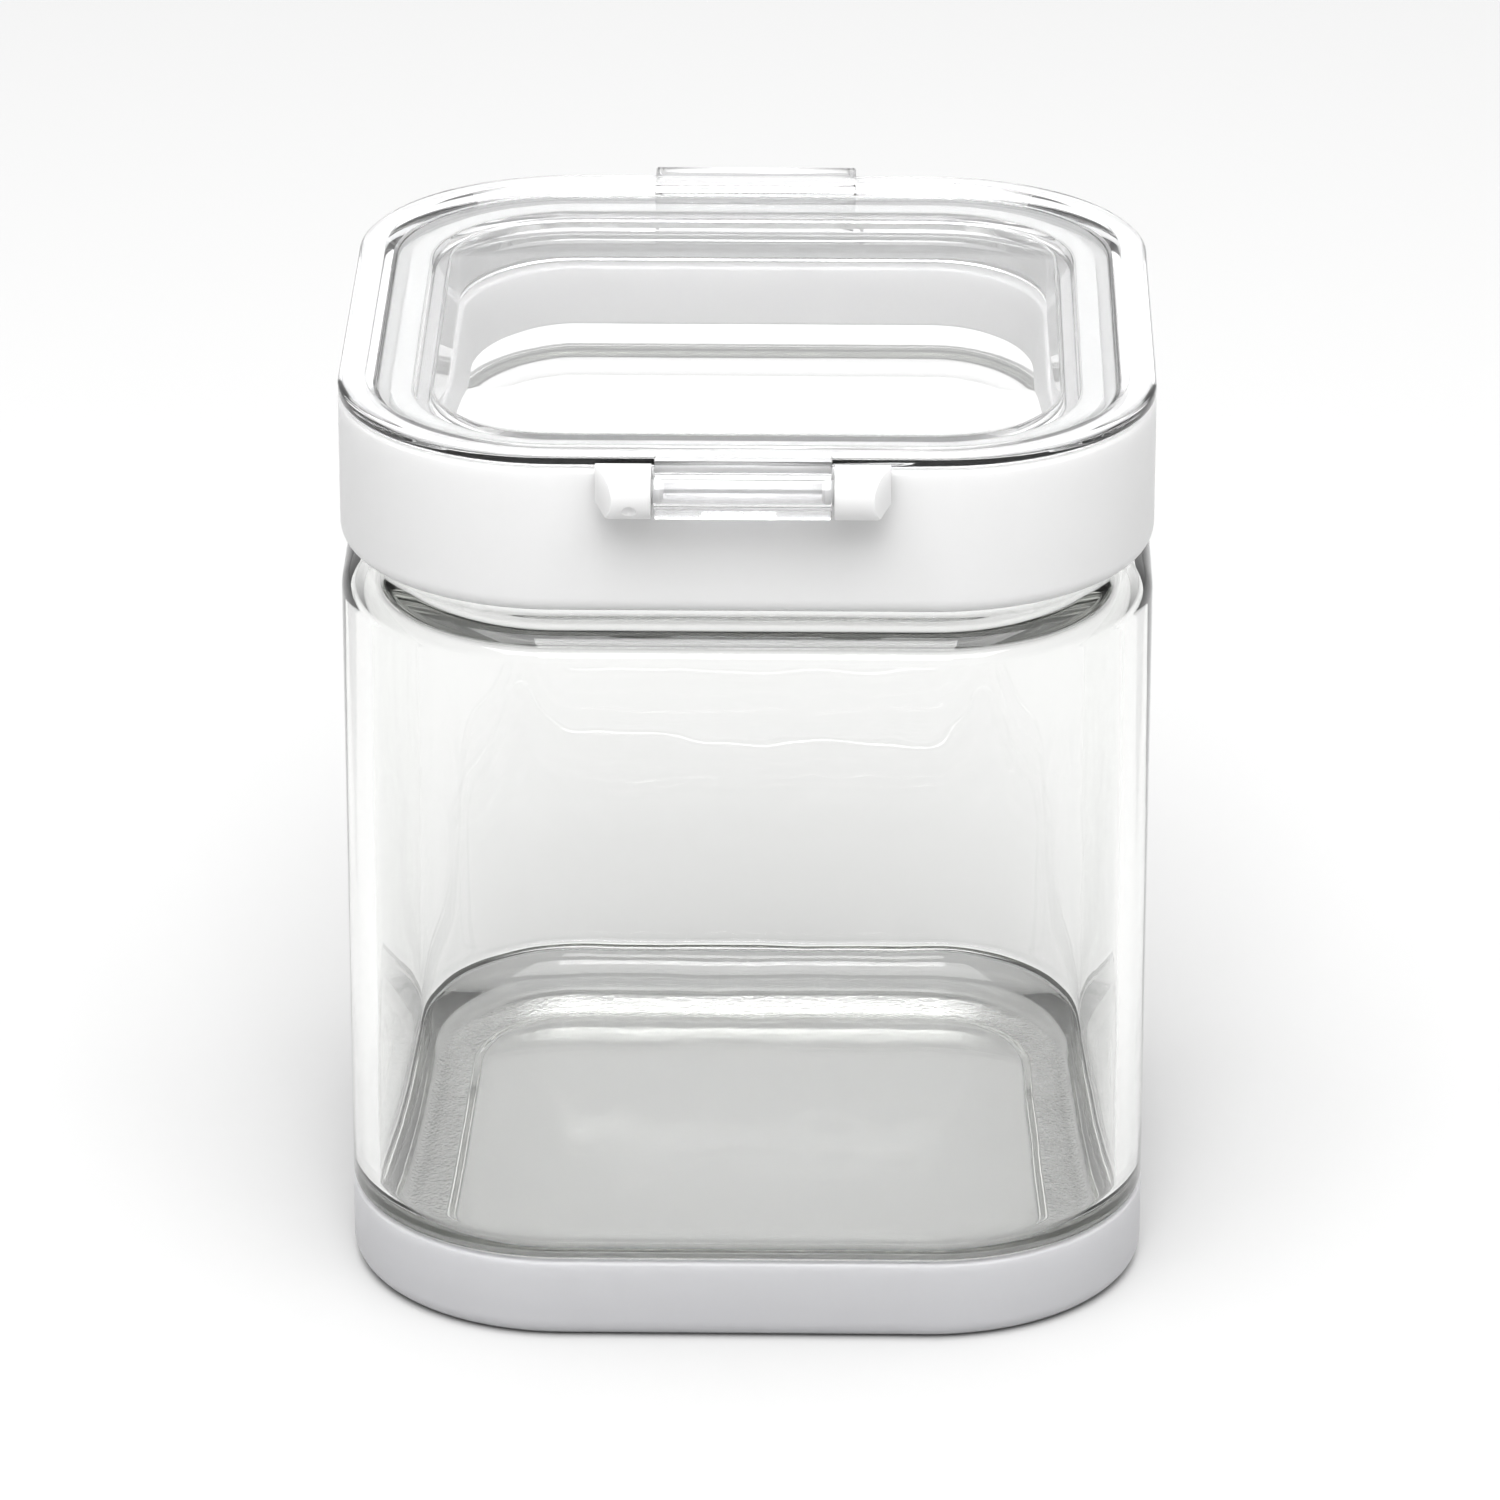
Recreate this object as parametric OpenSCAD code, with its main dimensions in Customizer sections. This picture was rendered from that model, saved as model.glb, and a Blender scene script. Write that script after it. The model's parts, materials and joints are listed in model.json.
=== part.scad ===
// Square glass storage canister: glass jar in a white base cup, white collar pressed on the
// neck, and a clear lid that hinges on the collar. Every ring-shaped piece is one profile,
// (distance from the middle, height), carried round the same rounded square.
// Z is up, the origin is the middle of the underside, and the hinge is on the -Y side.

/* [Body] */
// Width and depth of the canister
canister_w = 100; // [96:1:110]
// Outer corner radius seen from above
corner_r = 27.3; // [24:0.1:34]
// Height with the lid shut
canister_h = 118.5; // [110:0.5:180]

/* [Base cup] */
// Height of the white cup under the glass
cup_h = 10.6; // [9:0.1:14]
// Wall thickness of the cup
cup_wall = 2; // [1.5:0.1:2.5]
// Rounding of the cup's outer bottom edge
cup_edge_r = 2.6; // [1:0.1:4]

/* [Glass jar] */
// Thickness of the glass wall
glass_wall = 3.6; // [3:0.1:4]
// Top of the glass floor above the table
glass_floor_z = 8; // [7:0.1:9]
// Rounding between the inner wall and the floor
floor_fillet_r = 6; // [3:0.5:9]
// Rounding of the shoulder outside
shoulder_r = 4.5; // [3:0.1:4.5]
// Rounding of the shoulder inside
inner_shoulder_r = 1.5; // [1:0.1:1.9]
// Thickness of the shoulder, from its flat top to the cavity
shoulder_t = 3.9; // [3.6:0.1:4.6]

/* [Collar] */
// Height of the white collar
collar_h = 19; // [18:0.1:22]
// Thickness of the collar's outer wall
collar_wall = 2.6; // [2.4:0.1:2.8]
// Rounding of the collar's lower outer edge
collar_edge_r = 2.3; // [1:0.1:2.3]

/* [Lid] */
// Thickness of the clear lid's plate
lid_t = 1.8; // [1.5:0.1:2.2]
// Width of the raised rim round the lid's sunken middle
rim_w = 3.3; // [3:0.1:3.6]
// Depth of the sunken middle
recess_d = 1.3; // [1:0.1:1.4]
// Height of the plug wall under the lid
plug_h = 6.2; // [5:0.1:6.4]

/* [Hinge and thumb tab] */
// Radius of the hinge barrel on the lid
barrel_r = 3.3; // [3:0.05:3.4]
// Length of the hinge barrel
barrel_l = 21.2; // [18:0.1:26]
// Radius of the pegs that the lid turns on
peg_r = 1.5; // [1.2:0.05:1.8]
// Length of each white knuckle at the collar wall
knuckle_l = 6.7; // [6:0.1:8]
// Width of the thumb tab opposite the hinge
tab_w = 26; // [20:1:34]
// How far the thumb tab stands out past the lid
tab_out = 4; // [3:0.1:6]
// Height of the thumb tab's down-turned lip
tab_h = 9; // [7:0.1:12]

/* [Hidden] */
$fn = 96;

half = canister_w / 2;
// Half the length of each straight side, which is also the corner circles' centre.
straight = half - corner_r;

// Running gaps: between pieces that move, round the hinge pegs, and between fixed pieces.
move_gap = 0.3;
peg_gap = 0.05;
fit_gap = 0.2;

// Heights of the stacked parts.
cup_floor_t = 1.8;
lid_under_z = canister_h - lid_t;
collar_top_z = lid_under_z - 0.1;
collar_low_z = collar_top_z - collar_h;
plate_top_z = canister_h - recess_d;
plate_low_z = plate_top_z - lid_t;

// Collar: a web joins the outer wall to a sleeve that reaches into the neck.
sleeve_in = half - 11.5;
sleeve_t = 1.6;
web_t = 1.6;
web_z = collar_low_z + 9.3;
sleeve_low_z = collar_low_z + 3;
seat_in = half - 3.7;

// Glass neck, inside the collar.
heel_out = half - cup_wall - fit_gap;
heel_r = 4;
cavity_out = half - glass_wall;
shoulder_z = collar_low_z - 2.1;
neck_out = half - 5;
neck_in = half - 8.4;
neck_root_r = 0.5;
neck_top_z = web_z - 0.9;
inner_shoulder_z = shoulder_z - shoulder_t;
ledge_r = 0.9;
lip_r = 1.2;
neck_foot_r = 2.5;
push_up = 0.8;
push_up_out = half - 12;

// Seals.
seal_in = sleeve_in + 2.2;
seal_body_out = seal_in + 2.8;
seal_lip_out = seat_in - 0.4;
seal_lip_t = 1;
neck_rib_r = 0.3;

// Hinge axis, with the barrel's top level with the lid's.
axis_y = -half - barrel_r - 0.45;
axis_z = canister_h - barrel_r;
knuckle_in = barrel_l / 2 + move_gap;
peg_reach = 1.3;
tab_corner_r = 1.5;
knuckle_slant = 2;
knuckle_taper = 3.2;
knuckle_chamfer = 1.9;
knuckle_low_z = axis_z - barrel_r;

// What is left outside a quarter round of radius r in the corner (x, z), where the piece lies
// towards (sx, sz).
module corner_waste(x, z, sx, sz, r) {
    if (r > 0)
        translate([x, z])
            difference() {
                translate([min(sx * r, 0), min(sz * r, 0)]) square(r);
                translate([sx * r, sz * r]) circle(r);
            }
}

// Rectangle in a profile, with its corners rounded: low inner, low outer, top outer, top inner.
module bar(in, out, low, top, r = [0, 0, 0, 0]) {
    difference() {
        translate([in, low]) square([out - in, top - low]);
        corner_waste(in, low, 1, 1, r[0]);
        corner_waste(out, low, -1, 1, r[1]);
        corner_waste(out, top, -1, -1, r[2]);
        corner_waste(in, top, 1, -1, r[3]);
    }
}

// Carries a profile round the rounded square.
module round_square() {
    for (q = [0:3])
        rotate([0, 0, 90 * q]) {
            translate([straight, straight, 0])
                rotate_extrude(angle = 90)
                    translate([-straight, 0]) children();
            translate([0, straight, 0])
                rotate([90, 0, 0]) linear_extrude(2 * straight) children();
        }
}

// Fills the middle of a floor or plate, inside the corner circles' centres.
module middle(low, top) {
    translate([-straight, -straight, low])
        cube([2 * straight, 2 * straight, top - low]);
}

module glass_outline() {
    bar(straight, heel_out, cup_floor_t, cup_h, [0, heel_r, 0, 0]);
    bar(straight, half, cup_h, shoulder_z, [0, ledge_r, shoulder_r, 0]);
    bar(straight, neck_out, shoulder_z, neck_top_z, [0, 0, lip_r, 0]);
    corner_waste(neck_out, shoulder_z, 1, 1, neck_root_r);
}

module glass_cavity() {
    bar(straight, cavity_out, glass_floor_z, inner_shoulder_z,
        [0, floor_fillet_r, inner_shoulder_r, 0]);
    bar(straight, neck_in, inner_shoulder_z, neck_top_z);
    corner_waste(neck_in, inner_shoulder_z, 1, 1, neck_foot_r);
    corner_waste(neck_in, neck_top_z, 1, -1, lip_r);
    bar(straight, push_up_out, cup_floor_t, cup_floor_t + push_up, [0, 0, push_up / 2, 0]);
}

module glass_jar() {
    color([0.85, 0.90, 0.88, 0.35]) {
        round_square()
            difference() {
                glass_outline();
                glass_cavity();
            }
        middle(cup_floor_t + push_up, glass_floor_z);
    }
}

module base_cup() {
    color([0.88, 0.88, 0.89]) {
        round_square()
            difference() {
                bar(straight, half, 0, cup_h, [0, cup_edge_r, 0.3, 0]);
                bar(straight, half - cup_wall, cup_floor_t, cup_h, [0, heel_r + fit_gap, 0, 0]);
            }
        middle(0, cup_floor_t);
    }
}

module collar_ring() {
    round_square() {
        bar(half - collar_wall, half, collar_low_z, collar_top_z, [0.3, collar_edge_r, 0.8, 0]);
        bar(seat_in, half - 1, web_z, collar_top_z, [0, 0, 0, 0.3]);
        bar(sleeve_in, half - 1, web_z, web_z + web_t, [0, 0, 0, 0.4]);
        bar(sleeve_in, sleeve_in + sleeve_t, sleeve_low_z, web_z + web_t, [0.5, 0.5, 0, 0.4]);
    }
}

// The knuckle's end view: round about the axis, with a web back to the collar wall.
module knuckle_section() {
    circle(barrel_r);
    translate([0, -barrel_r])
        square([-axis_y - half + 1, collar_top_z - knuckle_low_z]);
}

// Right-hand knuckle. Its outer end slants back to the wall and is chamfered below.
module knuckle() {
    outer = knuckle_in + knuckle_l;
    front = axis_y - barrel_r;
    difference() {
        translate([knuckle_in, axis_y, axis_z])
            rotate([90, 0, 90]) linear_extrude(knuckle_l) knuckle_section();
        translate([0, 0, knuckle_low_z - 1])
            linear_extrude(canister_h)
                polygon([
                    [outer - knuckle_slant, front],
                    [outer - knuckle_slant, front - 1],
                    [outer + 1, front - 1],
                    [outer + 1, front + knuckle_taper],
                    [outer, front + knuckle_taper]
                ]);
        rotate([90, 0, 0])
            linear_extrude(half + 2 * barrel_r + 2)
                polygon([
                    [outer - knuckle_chamfer - 1, knuckle_low_z - 1],
                    [outer + 1, knuckle_low_z - 1],
                    [outer + 1, knuckle_low_z + knuckle_chamfer + 1]
                ]);
    }
    translate([knuckle_in - move_gap - peg_reach, axis_y, axis_z])
        rotate([0, 90, 0]) cylinder(h = move_gap + peg_reach + 1, r = peg_r);
}

module collar() {
    color([0.95, 0.95, 0.95]) {
        collar_ring();
        knuckle();
        mirror([1, 0, 0]) knuckle();
    }
}

// Silicone ring between the collar and the glass: a flange over the rim and a ribbed skirt.
module neck_seal() {
    skirt_in = sleeve_in + sleeve_t;
    skirt_out = neck_in - move_gap - neck_rib_r;
    color([0.93, 0.94, 0.93])
        round_square() {
            bar(skirt_in, neck_out - 0.5, neck_top_z + move_gap, web_z);
            bar(skirt_in, skirt_out, sleeve_low_z + 1, web_z);
            for (z = [sleeve_low_z + 1.8 : 1.5 : neck_top_z - 0.8])
                translate([skirt_out, z]) circle(neck_rib_r);
        }
}

module lid_plate() {
    inner_wall = half - rim_w;
    round_square() {
        bar(straight, inner_wall - recess_d, plate_low_z, plate_top_z);
        polygon([
            [inner_wall - recess_d - 1, plate_low_z],
            [seal_lip_out, plate_low_z],
            [seal_lip_out, lid_under_z],
            [inner_wall + 0.5, lid_under_z],
            [inner_wall + 0.5, canister_h],
            [inner_wall, canister_h],
            [inner_wall - recess_d, plate_top_z],
            [inner_wall - recess_d - 1, plate_top_z]
        ]);
        bar(inner_wall, half, lid_under_z, canister_h, [0, 0.5, 0.8, 0]);
        bar(sleeve_in + 0.2, seal_in, plate_low_z - plug_h, plate_low_z + 0.5, [0.4, 0.4, 0, 0]);
    }
    middle(plate_low_z, plate_top_z);
}

// Hinge barrel, hollow for the collar's pegs, and the flat lug that joins it to the lid.
module lid_barrel() {
    difference() {
        union() {
            translate([-barrel_l / 2, axis_y, axis_z])
                rotate([0, 90, 0]) cylinder(h = barrel_l, r = barrel_r);
            translate([-barrel_l / 2, axis_y, lid_under_z])
                cube([barrel_l, -half + 1 - axis_y, lid_t]);
        }
        translate([-barrel_l / 2 - 1, axis_y, axis_z])
            rotate([0, 90, 0]) cylinder(h = barrel_l + 2, r = peg_r + peg_gap);
    }
}

// Thumb tab: a flat top level with the rim, and a lip turned down behind the collar.
module thumb_tab() {
    translate([0, 0, canister_h - tab_h])
        linear_extrude(tab_h)
            difference() {
                translate([-tab_w / 2, half + 0.7]) square([tab_w, tab_out - 0.7]);
                corner_waste(-tab_w / 2, half + tab_out, 1, -1, tab_corner_r);
                corner_waste(tab_w / 2, half + tab_out, -1, -1, tab_corner_r);
            }
    translate([-tab_w / 2, half - rim_w - recess_d, lid_under_z])
        cube([tab_w, rim_w + recess_d + tab_out - tab_corner_r, lid_t]);
}

module flip_lid() {
    color([0.90, 0.93, 0.94, 0.35]) {
        lid_plate();
        lid_barrel();
        thumb_tab();
    }
}

// Silicone seal stretched round the plug wall, with two wiping lips.
module lid_seal() {
    low = plate_low_z - plug_h + 0.4;
    color([0.92, 0.93, 0.92])
        round_square() {
            bar(seal_in, seal_body_out, low, plate_low_z, [0.4, 0.4, 0, 0]);
            for (z = [low + 0.6, low + 3.4])
                bar(seal_in + 1, seal_lip_out, z, z + seal_lip_t, [0, 0.4, 0.4, 0]);
        }
}

glass_jar();
base_cup();
collar();
neck_seal();
flip_lid();
lid_seal();
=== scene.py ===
"""Square lidded glass canister: finished pieces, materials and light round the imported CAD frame."""

import json
import math

import bmesh
import bpy
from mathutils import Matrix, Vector


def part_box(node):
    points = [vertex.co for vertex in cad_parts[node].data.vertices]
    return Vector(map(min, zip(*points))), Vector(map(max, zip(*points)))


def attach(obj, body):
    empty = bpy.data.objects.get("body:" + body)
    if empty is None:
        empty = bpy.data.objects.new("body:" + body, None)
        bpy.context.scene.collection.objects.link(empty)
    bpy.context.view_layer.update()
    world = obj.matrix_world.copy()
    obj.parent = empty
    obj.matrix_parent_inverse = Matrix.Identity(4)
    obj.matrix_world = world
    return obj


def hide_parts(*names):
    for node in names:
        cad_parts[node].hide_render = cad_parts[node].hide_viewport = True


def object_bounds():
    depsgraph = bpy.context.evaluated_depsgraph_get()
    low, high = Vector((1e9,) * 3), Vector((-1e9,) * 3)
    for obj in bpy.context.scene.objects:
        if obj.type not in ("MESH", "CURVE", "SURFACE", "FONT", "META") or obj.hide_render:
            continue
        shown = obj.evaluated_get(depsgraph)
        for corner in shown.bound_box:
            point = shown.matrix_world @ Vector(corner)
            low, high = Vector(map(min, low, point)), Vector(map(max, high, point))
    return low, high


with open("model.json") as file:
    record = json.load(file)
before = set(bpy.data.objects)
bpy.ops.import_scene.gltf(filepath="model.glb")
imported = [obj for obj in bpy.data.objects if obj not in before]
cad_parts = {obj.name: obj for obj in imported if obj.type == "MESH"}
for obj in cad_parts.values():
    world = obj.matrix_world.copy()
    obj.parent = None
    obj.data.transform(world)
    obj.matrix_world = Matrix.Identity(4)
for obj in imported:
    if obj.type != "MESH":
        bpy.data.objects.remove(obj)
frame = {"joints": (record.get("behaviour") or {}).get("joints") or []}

cad_low, cad_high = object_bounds()

MM = 0.001
CORNER_STEPS = 32  # facets in each quarter round of the plan
RIM_STEPS = 6  # facets in each small rounding of a profile
SMOOTH_LIMIT = math.radians(32)  # edges sharper than this stay sharp
WELD = 1e-7  # metres within which points of joined solids become one


# ---------------------------------------------------------------- sizes in mm
def size_mm(node):
    """Lowest and highest corner of a CAD node in millimetres."""
    low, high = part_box(node)
    return low / MM, high / MM


jar_low, jar_high = size_mm("glass_jar")
lid_seal_low, lid_seal_high = size_mm("lid_seal")
cup_high = size_mm("base_cup")[1]
collar_low = size_mm("collar")[0]
lid_high = size_mm("flip_lid")[1]
neck_seal_low = size_mm("neck_seal")[0]
hinge = next(j for j in frame["joints"] if j["name"] == "lid_hinge")

HALF = jar_high.x
CORNER_R = 27.3
STRAIGHT = HALF - CORNER_R
CAP_REACH = 20  # reach at which flat middles are capped, less than STRAIGHT
CUP_TOP = cup_high.z
LID_TOP = lid_high.z
LID_T = 1.8
LID_UNDER = LID_TOP - LID_T
COLLAR_TOP = LID_UNDER - 0.1
COLLAR_LOW = collar_low.z
WEB_Z = COLLAR_LOW + 9.3  # underside of the web between the collar's wall and sleeve
GLASS_LOW = jar_low.z
NECK_TOP = jar_high.z
AXIS_Y, AXIS_Z = hinge["pos_m"][1] / MM, hinge["pos_m"][2] / MM
BARREL_R = LID_TOP - AXIS_Z
BARREL_HALF = 10.6
RUNNING_GAP = 0.3
KNUCKLE_IN = BARREL_HALF + RUNNING_GAP


# ---------------------------------------------------------------- mesh tools
def arc(reach, z, r, start, end, steps=RIM_STEPS):
    """Points (reach, z) of a profile's rounding, from one angle to another in degrees."""
    turns = [math.radians(start + (end - start) * i / steps) for i in range(steps + 1)]
    return [(reach + r * math.cos(a), z + r * math.sin(a)) for a in turns]


def plan_ring(reach, z):
    """Points round the rounded square whose straight sides are reach from the middle."""
    r = max(reach - STRAIGHT, 0.0)
    points = []
    for q in range(4):
        cx = STRAIGHT * (1 if q in (0, 3) else -1)
        cy = STRAIGHT * (1 if q in (0, 1) else -1)
        for i in range(CORNER_STEPS + 1):
            a = math.radians(90 * (q + i / CORNER_STEPS))
            points.append((cx + r * math.cos(a), cy + r * math.sin(a), z))
    return points


def new_piece(name, bm):
    """An object from a bmesh in millimetres, with smooth faces and its sharp edges marked."""
    bmesh.ops.scale(bm, vec=(MM, MM, MM), verts=bm.verts)
    bmesh.ops.recalc_face_normals(bm, faces=bm.faces)
    mesh = bpy.data.meshes.new(name)
    bm.to_mesh(mesh)
    bm.free()
    piece = bpy.data.objects.new(name, mesh)
    bpy.context.scene.collection.objects.link(piece)
    finish_mesh(mesh)
    return piece


def finish_mesh(mesh):
    """Smooth faces, with the edges above the limit kept sharp."""
    mesh.polygons.foreach_set("use_smooth", [True] * len(mesh.polygons))
    mesh.set_sharp_from_angle(angle=SMOOTH_LIMIT)


def add_loft(bm, profile, closed):
    """Carries a profile of (reach, z) round the plan. An open one is capped at both ends."""
    rings = [[bm.verts.new(p) for p in plan_ring(reach, z)] for reach, z in profile]
    pairs = list(zip(rings, rings[1:]))
    if closed:
        pairs.append((rings[-1], rings[0]))
    for a, b in pairs:
        for i in range(len(a)):
            j = (i + 1) % len(a)
            bm.faces.new((a[i], a[j], b[j], b[i]))
    if not closed:
        bm.faces.new(rings[0])
        bm.faces.new(rings[-1])


def loft_piece(name, profile, closed):
    bm = bmesh.new()
    add_loft(bm, profile, closed)
    return new_piece(name, bm)


def extrude_x(bm, outline, x0, x1):
    """A prism along X from an outline of (y, z) points."""
    ends = [[bm.verts.new((x, y, z)) for y, z in outline] for x in (x0, x1)]
    for i in range(len(outline)):
        j = (i + 1) % len(outline)
        bm.faces.new((ends[0][i], ends[0][j], ends[1][j], ends[1][i]))
    bm.faces.new(ends[0])
    bm.faces.new(ends[1])


def cut_away(bm, point, normal):
    """Cuts off what lies beyond a plane and closes the cut."""
    geometry = bm.verts[:] + bm.edges[:] + bm.faces[:]
    cut = bmesh.ops.bisect_plane(
        bm, geom=geometry, plane_co=point, plane_no=normal, clear_outer=True
    )
    edges = [e for e in cut["geom_cut"] if isinstance(e, bmesh.types.BMEdge)]
    bmesh.ops.edgenet_fill(bm, edges=edges)


def round_edges(bm, width, limit_deg=28, segments=3):
    """Rounds every outside edge that turns by more than the limit."""
    bmesh.ops.recalc_face_normals(bm, faces=bm.faces)
    edges = [
        e for e in bm.edges
        if len(e.link_faces) == 2 and e.is_convex
        and e.calc_face_angle() > math.radians(limit_deg)
    ]
    bmesh.ops.bevel(
        bm, geom=edges, offset=width, segments=segments, profile=0.5,
        affect="EDGES", clamp_overlap=True,
    )


def combine(piece, other, operation):
    """Joins another solid to a piece, or takes it out, and removes the other object."""
    step = piece.modifiers.new("combine", "BOOLEAN")
    step.operation = operation
    step.solver = "EXACT"
    step.object = other
    graph = bpy.context.evaluated_depsgraph_get()
    result = bpy.data.meshes.new_from_object(piece.evaluated_get(graph), depsgraph=graph)
    piece.modifiers.clear()
    piece.data = result
    bpy.data.objects.remove(other)


def join_solids(name, solids):
    """One closed mesh from several overlapping solids."""
    base = solids[0]
    for other in solids[1:]:
        combine(base, other, "UNION")
    base.name = name
    base.data.name = name
    tidy = bmesh.new()
    tidy.from_mesh(base.data)
    bmesh.ops.remove_doubles(tidy, verts=tidy.verts, dist=WELD)
    bmesh.ops.dissolve_degenerate(tidy, edges=tidy.edges, dist=WELD)
    tidy.to_mesh(base.data)
    tidy.free()
    finish_mesh(base.data)
    return base


def subtract(piece, cutter):
    """Takes the cutter's solid out of a piece."""
    combine(piece, cutter, "DIFFERENCE")
    piece.data.name = piece.name
    finish_mesh(piece.data)
    return piece


def add_turned(bm, stations, steps=48):
    """A solid turned about the hinge axis, from (x, radius) stations, closed at its ends."""
    rings = []
    for x, r in stations:
        ring = []
        for i in range(steps):
            a = 2 * math.pi * i / steps
            ring.append(bm.verts.new((x, AXIS_Y + r * math.cos(a), AXIS_Z + r * math.sin(a))))
        rings.append(ring)
    for a, b in zip(rings, rings[1:]):
        for i in range(steps):
            j = (i + 1) % steps
            bm.faces.new((a[i], a[j], b[j], b[i]))
    bm.faces.new(rings[0])
    bm.faces.new(rings[-1])


def mark(piece, name, inside):
    """Marks each vertex 1 where inside(reach, z) holds in millimetres, and 0 elsewhere."""
    mask = piece.data.attributes.new(name, "FLOAT", "POINT")
    for vertex, value in zip(piece.data.vertices, mask.data):
        dx, dy = abs(vertex.co.x) / MM - STRAIGHT, abs(vertex.co.y) / MM - STRAIGHT
        corner = math.hypot(dx, dy) if min(dx, dy) > 0 else max(dx, dy)
        value.value = 1.0 if inside(STRAIGHT + corner, vertex.co.z / MM) else 0.0


# ---------------------------------------------------------------- pieces
def glass_jar():
    """The pressed glass jar: stepped heel, thick floor, rounded shoulder and neck."""
    wall, floor_z, floor_r = 3.6, 8.0, 6.0
    heel_out, heel_r = HALF - 2.2, 4.0
    ledge_r, ledge_root_r, ledge_rise = 0.9, 0.3, 0.2
    push_up, push_up_in, push_up_w, ring_out = 0.8, 36.6, 1.8, 43.0
    frost_in, frost_h, face_gap = 38.3, 0.6, 0.03
    shoulder_r, inner_r, shoulder_z = 4.5, 1.5, COLLAR_LOW - 2.1
    neck_out, neck_in, rim_r, foot_r = HALF - 5.0, HALF - 8.4, 1.2, 2.5
    inner = HALF - wall
    shoulder_t, neck_root_r, steps = 3.9, 0.5, 10
    inner_shoulder = shoulder_z - shoulder_t
    low = GLASS_LOW + face_gap
    profile = [(CAP_REACH, low + push_up)]
    for i in range(steps + 1):
        t = i / steps
        ease = 1 - t * t * (3 - 2 * t)
        profile += [(push_up_in + push_up_w * t, low + push_up * ease)]
    profile += [(ring_out, low)]
    profile += arc(heel_out - heel_r, low + heel_r, heel_r, -90, 0, 10)
    ledge_z = CUP_TOP + ledge_rise
    profile += [(heel_out, CUP_TOP - ledge_root_r)]
    profile += arc(heel_out + ledge_root_r, ledge_z - ledge_root_r, ledge_root_r, 180, 90, 3)
    profile += arc(HALF - ledge_r, ledge_z + ledge_r, ledge_r, -90, 0)
    profile += arc(HALF - shoulder_r, shoulder_z - shoulder_r, shoulder_r, 0, 90, 28)
    root = arc(neck_out + neck_root_r, shoulder_z + neck_root_r, neck_root_r, 270, 180, 5)
    profile += root[1:]
    profile += arc(neck_out - rim_r, NECK_TOP - rim_r, rim_r, 0, 90)
    profile += arc(neck_in + rim_r, NECK_TOP - rim_r, rim_r, 90, 180)
    profile += arc(neck_in + foot_r, inner_shoulder + foot_r, foot_r, 180, 270, 10)
    profile += arc(inner - inner_r, inner_shoulder - inner_r, inner_r, 90, 0, 28)
    profile += arc(inner - floor_r, floor_z + floor_r, floor_r, 0, -90, 28)
    profile += [(CAP_REACH, floor_z)]
    jar = loft_piece("glass_jar_body", profile, closed=False)
    mark(jar, "stipple", lambda reach, z: reach > frost_in and z < low + frost_h)
    return jar


def base_cup():
    """The white cup round the foot of the glass."""
    wall, floor_t, edge_r, inner_r, top_r = 2.0, 1.8, 2.6, 4.2, 0.35
    inner, foot_out, painted_light_low, painted_light_past = HALF - wall, 44, 1.7, 0.1
    profile = [(CAP_REACH, 0), (foot_out, 0)]
    profile += arc(HALF - edge_r, edge_r, edge_r, -90, 0, 8)
    profile += arc(HALF - top_r, CUP_TOP - top_r, top_r, 0, 90, 4)
    profile += arc(inner + top_r, CUP_TOP - top_r, top_r, 90, 180, 4)
    profile += arc(inner - inner_r, floor_t + inner_r, inner_r, 0, -90, 8)
    profile += [(CAP_REACH, floor_t)]
    cup = loft_piece("base_cup_shell", profile, closed=False)
    # Painted light: the cup's inner floor and inner wall are marked to take a lighter colour than its
    # outside, though both are one plastic.
    mark(cup, "inside_painted_light", lambda reach, z: z > painted_light_low and reach < inner + painted_light_past)
    return cup


def collar_ring():
    """Outer wall, web and inner sleeve of the collar."""
    wall, edge_r, top_r = 2.6, 2.3, 0.8
    web_top, sleeve_in, sleeve_t = WEB_Z + 1.6, HALF - 11.5, 1.6
    seat_in, sleeve_low, inner = HALF - 3.7, COLLAR_LOW + 3.0, HALF - wall
    seat_r, web_r, sleeve_top_r, sleeve_low_r = 0.3, 0.6, 0.4, 0.5
    profile = arc(HALF - edge_r, COLLAR_LOW + edge_r, edge_r, -90, 0, 8)
    profile += arc(HALF - top_r, COLLAR_TOP - top_r, top_r, 0, 90)
    sleeve_out, bevel = sleeve_in + sleeve_t, 0.3
    profile += arc(seat_in + seat_r, COLLAR_TOP - seat_r, seat_r, 90, 180, 4)
    profile += arc(seat_in - web_r, web_top + web_r, web_r, 0, -90, 4)
    profile += arc(sleeve_in + sleeve_top_r, web_top - sleeve_top_r, sleeve_top_r, 90, 180, 4)
    profile += arc(sleeve_in + sleeve_low_r, sleeve_low + sleeve_low_r, sleeve_low_r, 180, 270, 4)
    profile += arc(sleeve_out - sleeve_low_r, sleeve_low + sleeve_low_r, sleeve_low_r, 270, 360, 4)
    profile += [(sleeve_out, WEB_Z), (inner, WEB_Z)]
    profile += [(inner, COLLAR_LOW + bevel), (inner + bevel, COLLAR_LOW)]
    return loft_piece("collar_ring", profile, closed=True)


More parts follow.
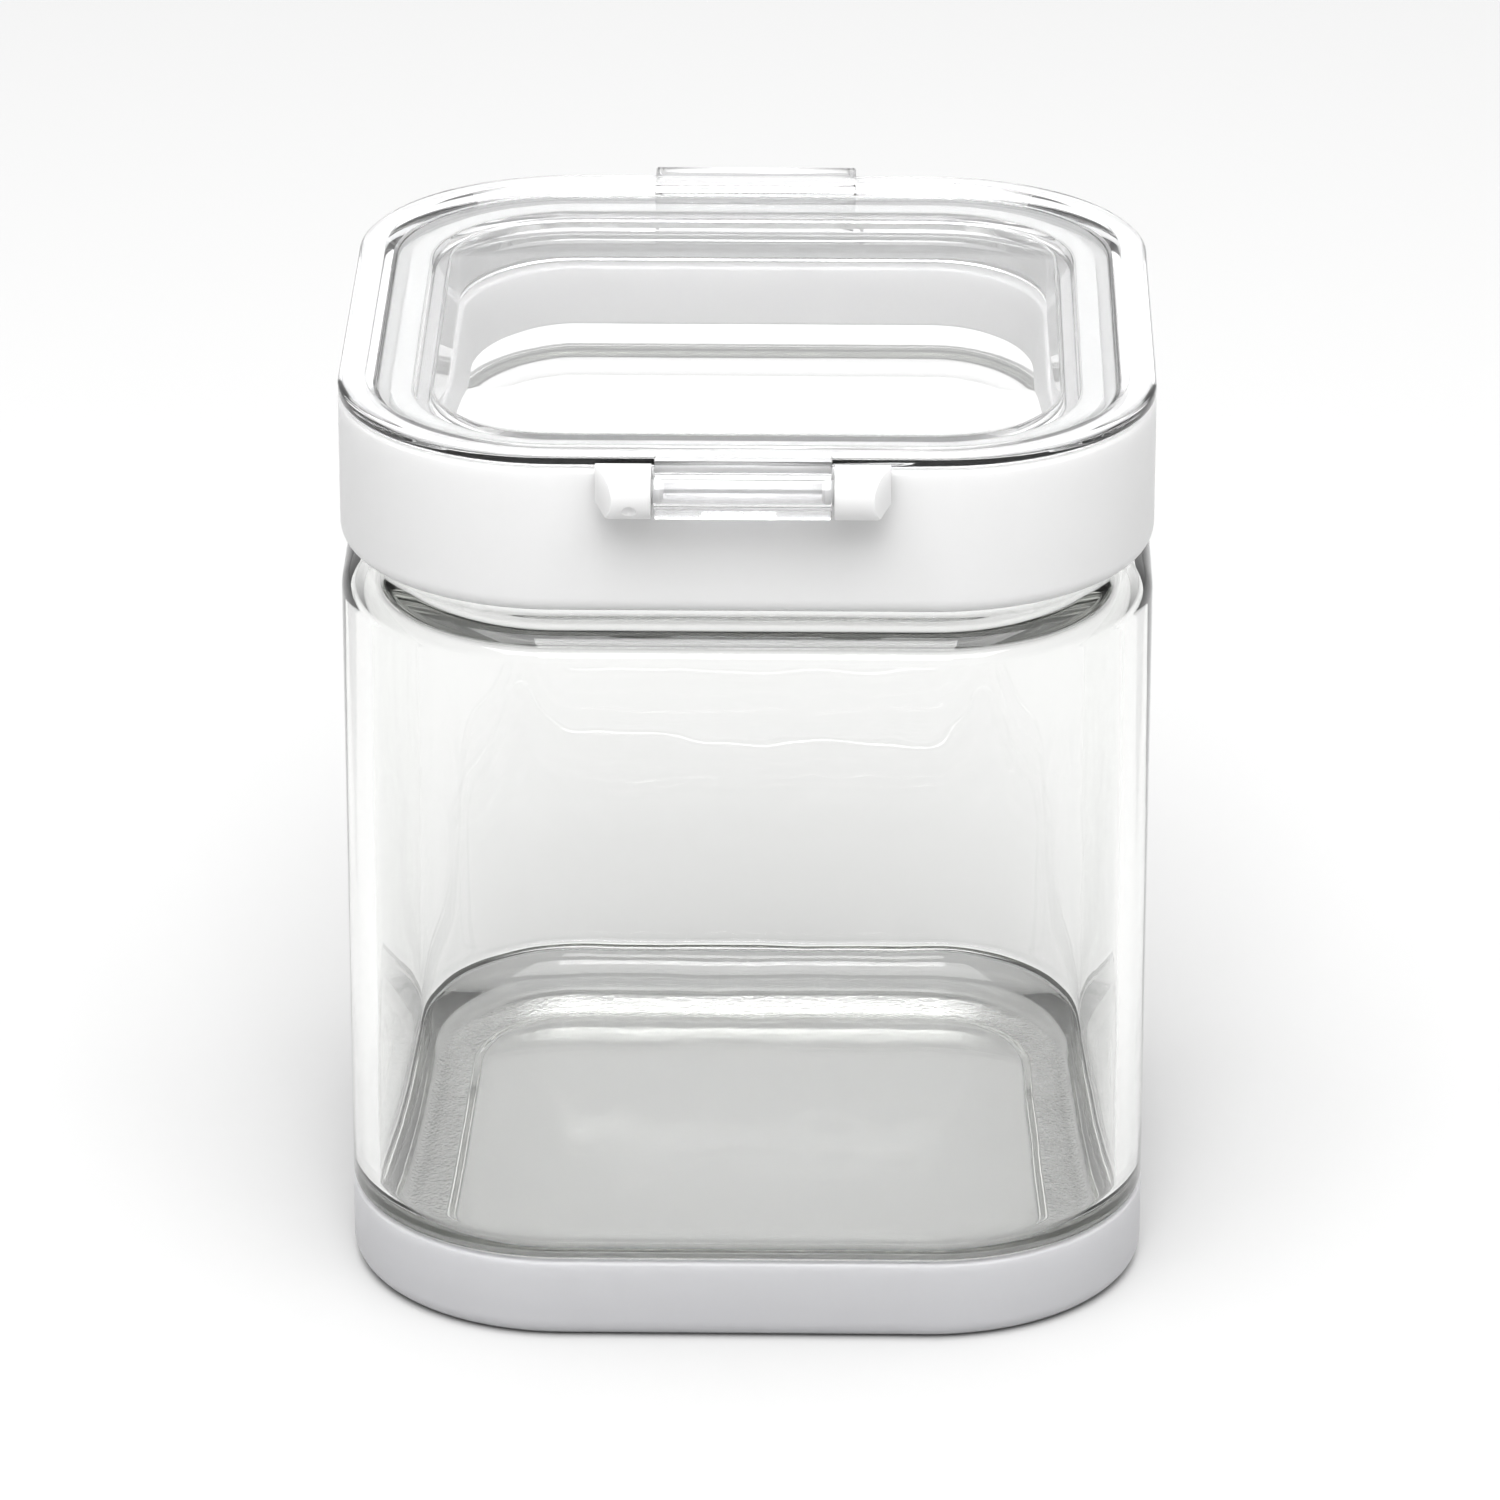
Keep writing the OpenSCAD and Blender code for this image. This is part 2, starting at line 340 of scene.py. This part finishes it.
def knuckle(side):
    """A hinge knuckle, round at the front, slanted back at its outer end and chamfered below."""
    outer, taper, slant_in, low_cut = KNUCKLE_IN + 6.7, 3.2, 2.0, 1.9
    wall_y, top_z = -HALF + 0.8, COLLAR_TOP - 0.1
    rise = math.degrees(math.asin((top_z - AXIS_Z) / BARREL_R))
    outline = [(wall_y, AXIS_Z - BARREL_R)]
    outline += arc(AXIS_Y, AXIS_Z, BARREL_R, 270, rise, 22)
    outline += [(wall_y, top_z)]
    bm = bmesh.new()
    extrude_x(bm, outline, KNUCKLE_IN, outer)
    front = AXIS_Y - BARREL_R
    cut_away(bm, (outer - slant_in, front, 0), (taper, -slant_in, 0))
    low = AXIS_Z - BARREL_R
    cut_away(bm, (outer - low_cut, 0, low), (1, 0, -1))
    round_edges(bm, 0.45, segments=4)
    if side < 0:
        bmesh.ops.scale(bm, vec=(-1, 1, 1), verts=bm.verts)
    return new_piece("knuckle", bm)


def peg(side):
    """The short round peg on a knuckle that the lid turns on, with a domed end."""
    r, reach, dome = 1.5, 1.6, 0.4
    bm = bmesh.new()
    end = KNUCKLE_IN - reach
    add_turned(bm, [(KNUCKLE_IN + 1, r), (end + dome, r), (end, r - dome)])
    if side < 0:
        bmesh.ops.scale(bm, vec=(-1, 1, 1), verts=bm.verts)
    return new_piece("peg", bm)


def collar():
    """The white collar: ring, knuckles and pegs as one moulding, with its gate mark."""
    painted_light_in, painted_light_out, painted_light_top = HALF - 11.3, HALF - 2.5, COLLAR_LOW + 9.5
    parts = [collar_ring()]
    for side in (1, -1):
        parts += [knuckle(side), peg(side)]
    moulding = subtract(join_solids("collar_moulding", parts), dimple())
    # Painted light: the faces between the outer wall and the sleeve, below the web, are marked for a
    # lighter colour than the rest of the same plastic.
    mark(moulding, "inside_painted_light", lambda reach, z: painted_light_in < reach < painted_light_out and z < painted_light_top)
    return moulding


def neck_seal():
    """Silicone ring over the glass rim, with ribs down its skirt."""
    skirt_in, skirt_out, flange_out = HALF - 9.9, HALF - 9.0, HALF - 5.5
    rib_r, first_rib, rib_pitch, bevel, face_gap = 0.3, 0.8, 1.5, 0.3, 0.02
    low, rim_z, top = neck_seal_low.z, NECK_TOP + RUNNING_GAP, WEB_Z - face_gap
    profile = [(skirt_in, top), (skirt_in, low), (skirt_out, low)]
    for i in range(2):
        profile += arc(skirt_out, low + first_rib + rib_pitch * i, rib_r, -90, 90, 5)
    profile += [(skirt_out, rim_z - bevel), (skirt_out + bevel, rim_z), (flange_out, rim_z)]
    profile += [(flange_out, top)]
    return loft_piece("neck_seal_ring", profile, closed=True)


def lid_plate():
    """Raised rim, sunken middle and plug wall of the clear lid."""
    rim_in, recess = HALF - 3.3, 1.3
    plate_top, plate_low = LID_TOP - recess, LID_TOP - recess - LID_T
    plug_in, plug_out, plug_low = HALF - 11.3, HALF - 9.3, plate_low - 6.2
    step_out, recess_out = HALF - 4.1, rim_in - 2.0
    slope_in, slope_out = rim_in - 1.75, rim_in + 0.15
    slope_foot_r, slope_top_r, rim_r, low_r, root_r, bevel = 0.35, 0.3, 0.7, 0.4, 0.5, 0.3
    profile = [(CAP_REACH, plate_top), (recess_out, plate_top)]
    profile += arc(slope_in, plate_top + slope_foot_r, slope_foot_r, -90, -40, 3)
    profile += arc(slope_out, LID_TOP - slope_top_r, slope_top_r, 140, 90, 3)
    profile += arc(HALF - rim_r, LID_TOP - rim_r, rim_r, 90, 0)
    profile += arc(HALF - low_r, LID_UNDER + low_r, low_r, 0, -90, 4)
    profile += [(step_out + bevel, LID_UNDER), (step_out, LID_UNDER - bevel)]
    profile += arc(step_out - low_r, plate_low + low_r, low_r, 0, -90, 4)
    profile += [(plug_out + bevel, plate_low), (plug_out, plate_low - bevel)]
    profile += arc(plug_out - low_r, plug_low + low_r, low_r, 0, -90, 4)
    profile += arc(plug_in + low_r, plug_low + low_r, low_r, 270, 180, 4)
    profile += arc(plug_in - root_r, plate_low - root_r, root_r, 0, 90, 4)
    profile += [(CAP_REACH, plate_low)]
    return loft_piece("lid_plate", profile, closed=False)


def dimple():
    """Shallow round gate mark on the front of the left knuckle."""
    r, x, z, stand_off = 1.1, -13.5, 113.4, 0.75
    bm = bmesh.new()
    bmesh.ops.create_uvsphere(bm, u_segments=32, v_segments=16, radius=r)
    front = AXIS_Y - math.sqrt(BARREL_R ** 2 - (AXIS_Z - z) ** 2)
    bmesh.ops.translate(bm, vec=(x, front - stand_off, z), verts=bm.verts)
    return new_piece("dimple", bm)


def lid_lug():
    """Barrel and the flat lug that runs from it into the lid's rim, as one section."""
    bm = bmesh.new()
    root_y = -HALF + 1.2
    outline = arc(AXIS_Y, AXIS_Z, BARREL_R, 90, 360, 40)
    foot = math.degrees(math.asin((LID_UNDER - AXIS_Z) / BARREL_R))
    outline += arc(AXIS_Y, AXIS_Z, BARREL_R, 0, foot, 4)[1:]
    outline += [(root_y, LID_UNDER), (root_y, LID_TOP)]
    extrude_x(bm, outline, -BARREL_HALF, BARREL_HALF)
    round_edges(bm, 0.3)
    return new_piece("lug", bm)


def barrel_bore():
    """The hole along the barrel that the pegs turn in."""
    r = 1.55
    bm = bmesh.new()
    add_turned(bm, [(-BARREL_HALF - 1, r), (BARREL_HALF + 1, r)])
    return new_piece("bore", bm)


def thumb_tab():
    """Flat tab over the rim with a lip turned down behind the collar."""
    half_w, tab_h, corner_r, same_place = 13.0, 9.0, 1.5, 1e-6
    out_y, lip_in, root_y, under = lid_high.y, HALF + 0.7, HALF - 4.6, LID_UNDER + 0.35
    outline = [(root_y, under), (lip_in - 0.4, under)]
    outline += [(lip_in, LID_UNDER)]
    outline += [(lip_in, LID_TOP - tab_h), (out_y, LID_TOP - tab_h)]
    outline += [(out_y, LID_TOP), (root_y, LID_TOP)]
    bm = bmesh.new()
    extrude_x(bm, outline, -half_w, half_w)
    upright = [
        e for e in bm.edges
        if all(abs(v.co.y - out_y) < same_place for v in e.verts)
        and all(abs(abs(v.co.x) - half_w) < same_place for v in e.verts)
    ]
    bmesh.ops.bevel(bm, geom=upright, offset=corner_r, segments=6, profile=0.5, affect="EDGES")
    round_edges(bm, 0.3)
    return new_piece("tab", bm)


def flip_lid():
    """The clear lid: plate, barrel and thumb tab as one moulding, bored for the pegs."""
    lid = join_solids("flip_lid_moulding", [lid_plate(), lid_lug(), thumb_tab()])
    return subtract(lid, barrel_bore())


def lid_seal():
    """Silicone seal round the plug wall, with two wiping lips."""
    inner, body_out, lip_out = HALF - 9.25, HALF - 6.5, HALF - 4.1
    edge_r, bevel, lip_t, face_gap = 0.4, 0.3, 1.0, 0.03
    low, top = lid_seal_low.z, lid_seal_high.z - face_gap
    profile = [(inner, top), (inner, low + bevel), (inner + bevel, low)]
    profile += arc(body_out - edge_r, low + edge_r, edge_r, -90, 0, 4)
    for z in (low + 0.6, low + 3.4):
        profile += [(body_out, z)]
        profile += arc(lip_out - edge_r, z + edge_r, edge_r, -90, 0, 4)
        profile += arc(lip_out - edge_r, z + lip_t - edge_r, edge_r, 0, 90, 4)
        profile += [(body_out, z + lip_t)]
    profile += [(body_out, top)]
    return loft_piece("lid_seal_ring", profile, closed=True)


# ---------------------------------------------------------------- materials
def new_material(name):
    """A node material, its nodes and links, and its main shader."""
    material = bpy.data.materials.new(name)
    material.use_nodes = True
    nodes, links = material.node_tree.nodes, material.node_tree.links
    return material, nodes, links, nodes["Principled BSDF"]


def add_noise_bump(nodes, links, shader, scale, strength, distance, detail=2.0):
    """Fine unevenness from noise in the piece's own coordinates."""
    where = nodes.new("ShaderNodeTexCoord")
    noise = nodes.new("ShaderNodeTexNoise")
    noise.inputs["Scale"].default_value = scale
    noise.inputs["Detail"].default_value = detail
    bump = nodes.new("ShaderNodeBump")
    bump.inputs["Strength"].default_value = strength
    bump.inputs["Distance"].default_value = distance
    links.new(where.outputs["Object"], noise.inputs["Vector"])
    links.new(noise.outputs["Fac"], bump.inputs["Height"])
    links.new(bump.outputs["Normal"], shader.inputs["Normal"])
    return noise


def glass_material():
    """Pressed soda-lime glass: slight waviness, and an olive cast where it is thick."""
    material, nodes, links, shader = new_material("pressed_glass")
    shader.inputs["Base Color"].default_value = (1, 1, 1, 1)
    shader.inputs["IOR"].default_value = 1.51
    shader.inputs["Transmission Weight"].default_value = 1.0
    add_noise_bump(nodes, links, shader, 45, 0.12, 0.0006)
    wave = nodes["Bump"]
    mask = nodes.new("ShaderNodeAttribute")
    mask.attribute_name = "stipple"
    grain = nodes.new("ShaderNodeTexNoise")
    grain.inputs["Scale"].default_value = 1400
    grain.inputs["Detail"].default_value = 3
    pits = nodes.new("ShaderNodeBump")
    pits.inputs["Distance"].default_value = 0.0001
    links.new(nodes["Texture Coordinate"].outputs["Object"], grain.inputs["Vector"])
    links.new(mask.outputs["Fac"], pits.inputs["Strength"])
    links.new(grain.outputs["Fac"], pits.inputs["Height"])
    links.new(wave.outputs["Normal"], pits.inputs["Normal"])
    links.new(pits.outputs["Normal"], shader.inputs["Normal"])
    frost = nodes.new("ShaderNodeMapRange")
    frost.inputs["To Max"].default_value = 0.25
    links.new(mask.outputs["Fac"], frost.inputs["Value"])
    links.new(frost.outputs["Result"], shader.inputs["Roughness"])
    absorb = nodes.new("ShaderNodeVolumeAbsorption")
    absorb.inputs["Color"].default_value = (0.50, 0.53, 0.45, 1)
    absorb.inputs["Density"].default_value = 17.0
    links.new(absorb.outputs["Volume"], nodes["Material Output"].inputs["Volume"])
    return material


def clear_plastic_material():
    """Clear hard plastic, polished."""
    material, nodes, links, shader = new_material("clear_plastic")
    shader.inputs["Base Color"].default_value = (0.985, 0.985, 0.99, 1)
    shader.inputs["Roughness"].default_value = 0.0
    shader.inputs["IOR"].default_value = 1.49
    shader.inputs["Transmission Weight"].default_value = 1.0
    add_noise_bump(nodes, links, shader, 60, 0.01, 0.0003)
    return material


def white_plastic_material(name, colour, rough, glow, inside_painted_light=None):
    """Satin moulded plastic. Where the piece is marked, a lighter copy of its colour is painted in as
    painted light on inner faces of the same plastic.
    """
    material, nodes, links, shader = new_material(name)
    noise = add_noise_bump(nodes, links, shader, 900, 0.04, 0.0002, 3.0)
    ramp = nodes.new("ShaderNodeMapRange")
    ramp.inputs["To Min"].default_value = rough - 0.04
    ramp.inputs["To Max"].default_value = rough + 0.04
    links.new(noise.outputs["Fac"], ramp.inputs["Value"])
    links.new(ramp.outputs["Result"], shader.inputs["Roughness"])
    shader.inputs["Base Color"].default_value = (*colour, 1)
    # Painted light: the marked inner faces take a lighter copy of the same plastic's colour.
    if inside_painted_light:
        mask = nodes.new("ShaderNodeAttribute")
        mask.attribute_name = "inside_painted_light"
        tint = nodes.new("ShaderNodeMix")
        tint.data_type = "RGBA"
        tint.inputs["A"].default_value = (*colour, 1)
        tint.inputs["B"].default_value = (*inside_painted_light, 1)
        links.new(mask.outputs["Fac"], tint.inputs["Factor"])
        links.new(tint.outputs["Result"], shader.inputs["Base Color"])
    shader.inputs["IOR"].default_value = 1.46
    shader.inputs["Specular IOR Level"].default_value = 0.2
    shader.inputs["Subsurface Weight"].default_value = glow
    shader.inputs["Subsurface Radius"].default_value = (0.006, 0.006, 0.006)
    shader.inputs["Subsurface Scale"].default_value = 1.0
    return material


def silicone_material():
    """Milky silicone: dull, and partly lets light through."""
    material, nodes, links, shader = new_material("milky_silicone")
    shader.inputs["Base Color"].default_value = (0.52, 0.525, 0.52, 1)
    shader.inputs["Roughness"].default_value = 0.42
    shader.inputs["IOR"].default_value = 1.41
    shader.inputs["Subsurface Weight"].default_value = 0.9
    shader.inputs["Subsurface Radius"].default_value = (0.004, 0.004, 0.004)
    shader.inputs["Subsurface Scale"].default_value = 1.0
    add_noise_bump(nodes, links, shader, 500, 0.05, 0.0002)
    return material


def dress(piece, material, body, slot, *nodes):
    """Gives a piece its material and its CAD body, and hides the CAD nodes it stands for. The slot is
    not used.
    """
    piece.data.materials.clear()
    piece.data.materials.append(material)
    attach(piece, body)
    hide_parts(*nodes)


# ---------------------------------------------------------------- studio
def studio_floor():
    """The pale floor that the canister stands on."""
    bm = bmesh.new()
    bmesh.ops.create_grid(bm, x_segments=1, y_segments=1, size=4.0)
    mesh = bpy.data.meshes.new("floor")
    bm.to_mesh(mesh)
    bm.free()
    floor = bpy.data.objects.new("floor", mesh)
    bpy.context.scene.collection.objects.link(floor)
    floor.location.z = cad_low.z
    material, _, _, shader = new_material("floor_white")
    shader.inputs["Base Color"].default_value = (0.47, 0.47, 0.47, 1)
    shader.inputs["Roughness"].default_value = 0.9
    shader.inputs["Specular IOR Level"].default_value = 0.0
    mesh.materials.append(material)


def studio_world():
    """Bright overhead and to the front and back; grey low down at the two sides."""
    world = bpy.data.worlds.new("studio")
    bpy.context.scene.world = world
    world.use_nodes = True
    nodes, links = world.node_tree.nodes, world.node_tree.links
    where = nodes.new("ShaderNodeTexCoord")
    axes = nodes.new("ShaderNodeSeparateXYZ")
    sideways = nodes.new("ShaderNodeMath")
    sideways.operation = "ABSOLUTE"
    horizon = nodes.new("ShaderNodeMapRange")
    horizon.interpolation_type = "SMOOTHSTEP"
    horizon.inputs["From Min"].default_value = 0.35
    horizon.inputs["From Max"].default_value = 0.95
    horizon.inputs["To Min"].default_value = 0.90
    horizon.inputs["To Max"].default_value = 0.15
    rise = nodes.new("ShaderNodeMapRange")
    rise.interpolation_type = "SMOOTHSTEP"
    rise.inputs["From Min"].default_value = 0.25
    rise.inputs["From Max"].default_value = 0.95
    rise.inputs["To Max"].default_value = 1.20
    links.new(where.outputs["Generated"], axes.inputs["Vector"])
    links.new(axes.outputs["X"], sideways.inputs[0])
    links.new(sideways.outputs["Value"], horizon.inputs["Value"])
    links.new(axes.outputs["Z"], rise.inputs["Value"])
    links.new(horizon.outputs["Result"], rise.inputs["To Min"])
    links.new(rise.outputs["Result"], nodes["Background"].inputs["Strength"])
    nodes["Background"].inputs["Color"].default_value = (1, 1, 1, 1)


def softbox(name, place, aim, size, power):
    """A white rectangular area light, aimed at a point."""
    data = bpy.data.lights.new(name, "AREA")
    data.shape = "RECTANGLE"
    data.size, data.size_y = size
    data.energy = power
    lamp = bpy.data.objects.new(name, data)
    bpy.context.scene.collection.objects.link(lamp)
    lamp.location = place
    lamp.rotation_mode = "QUATERNION"
    lamp.rotation_quaternion = (Vector(aim) - Vector(place)).to_track_quat("-Z", "Y")


def camera():
    """Telephoto view from the hinge side, a little above and just right of centre."""
    distance, rise, swing = 1.0678, math.radians(23.37), math.radians(0.90)
    target = Vector((0, 0, 0.05857))
    back = Vector((
        math.sin(swing) * math.cos(rise), -math.cos(swing) * math.cos(rise), math.sin(rise)
    ))
    data = bpy.data.cameras.new("camera")
    data.sensor_width = 36
    data.lens = 201.2
    data.clip_start, data.clip_end = 0.05, 20
    eye = bpy.data.objects.new("camera", data)
    bpy.context.scene.collection.objects.link(eye)
    eye.location = target + back * distance
    eye.rotation_mode = "QUATERNION"
    eye.rotation_quaternion = (-back).to_track_quat("-Z", "Y")
    bpy.context.scene.camera = eye


def render_look():
    """Plain colour handling, and enough bounces for thick clear pieces."""
    scene = bpy.context.scene
    scene.view_settings.view_transform = "Standard"
    scene.cycles.max_bounces = 24
    scene.cycles.transmission_bounces = 20
    scene.cycles.diffuse_bounces = 12
    scene.cycles.glossy_bounces = 8
    scene.cycles.transparent_max_bounces = 16


def main():
    # Each white plastic's last colour is painted light: a lighter copy of the same plastic for its
    # marked inner faces.
    white_collar = white_plastic_material(
        "white_collar_plastic", (0.56, 0.56, 0.56), 0.34, 0.5, (0.97, 0.97, 0.97)
    )
    white_cup = white_plastic_material(
        "white_cup_plastic", (0.42, 0.42, 0.432), 0.38, 1.0, (0.95, 0.95, 0.95)
    )
    silicone = silicone_material()
    dress(glass_jar(), glass_material(), "jar", "clear_glass", "glass_jar")
    dress(base_cup(), white_cup, "jar", "white_cup", "base_cup")
    dress(collar(), white_collar, "collar", "white_collar", "collar")
    dress(neck_seal(), silicone, "collar", "silicone", "neck_seal")
    dress(flip_lid(), clear_plastic_material(), "lid", "clear_plastic", "flip_lid")
    dress(lid_seal(), silicone, "lid", "silicone", "lid_seal")
    studio_floor()
    studio_world()
    softbox("top_box", (0, -0.35, 1.2), (0, -0.1, 0.0), (1.4, 1.4), 24.0)
    softbox("back_box", (0, 1.7, 0.95), (0, 0, 0.05), (1.6, 1.0), 2.8)
    softbox("front_box", (0, -1.2, 1.45), (0, 0, 0.07), (0.7, 0.9), 15.0)
    camera()
    render_look()


main()
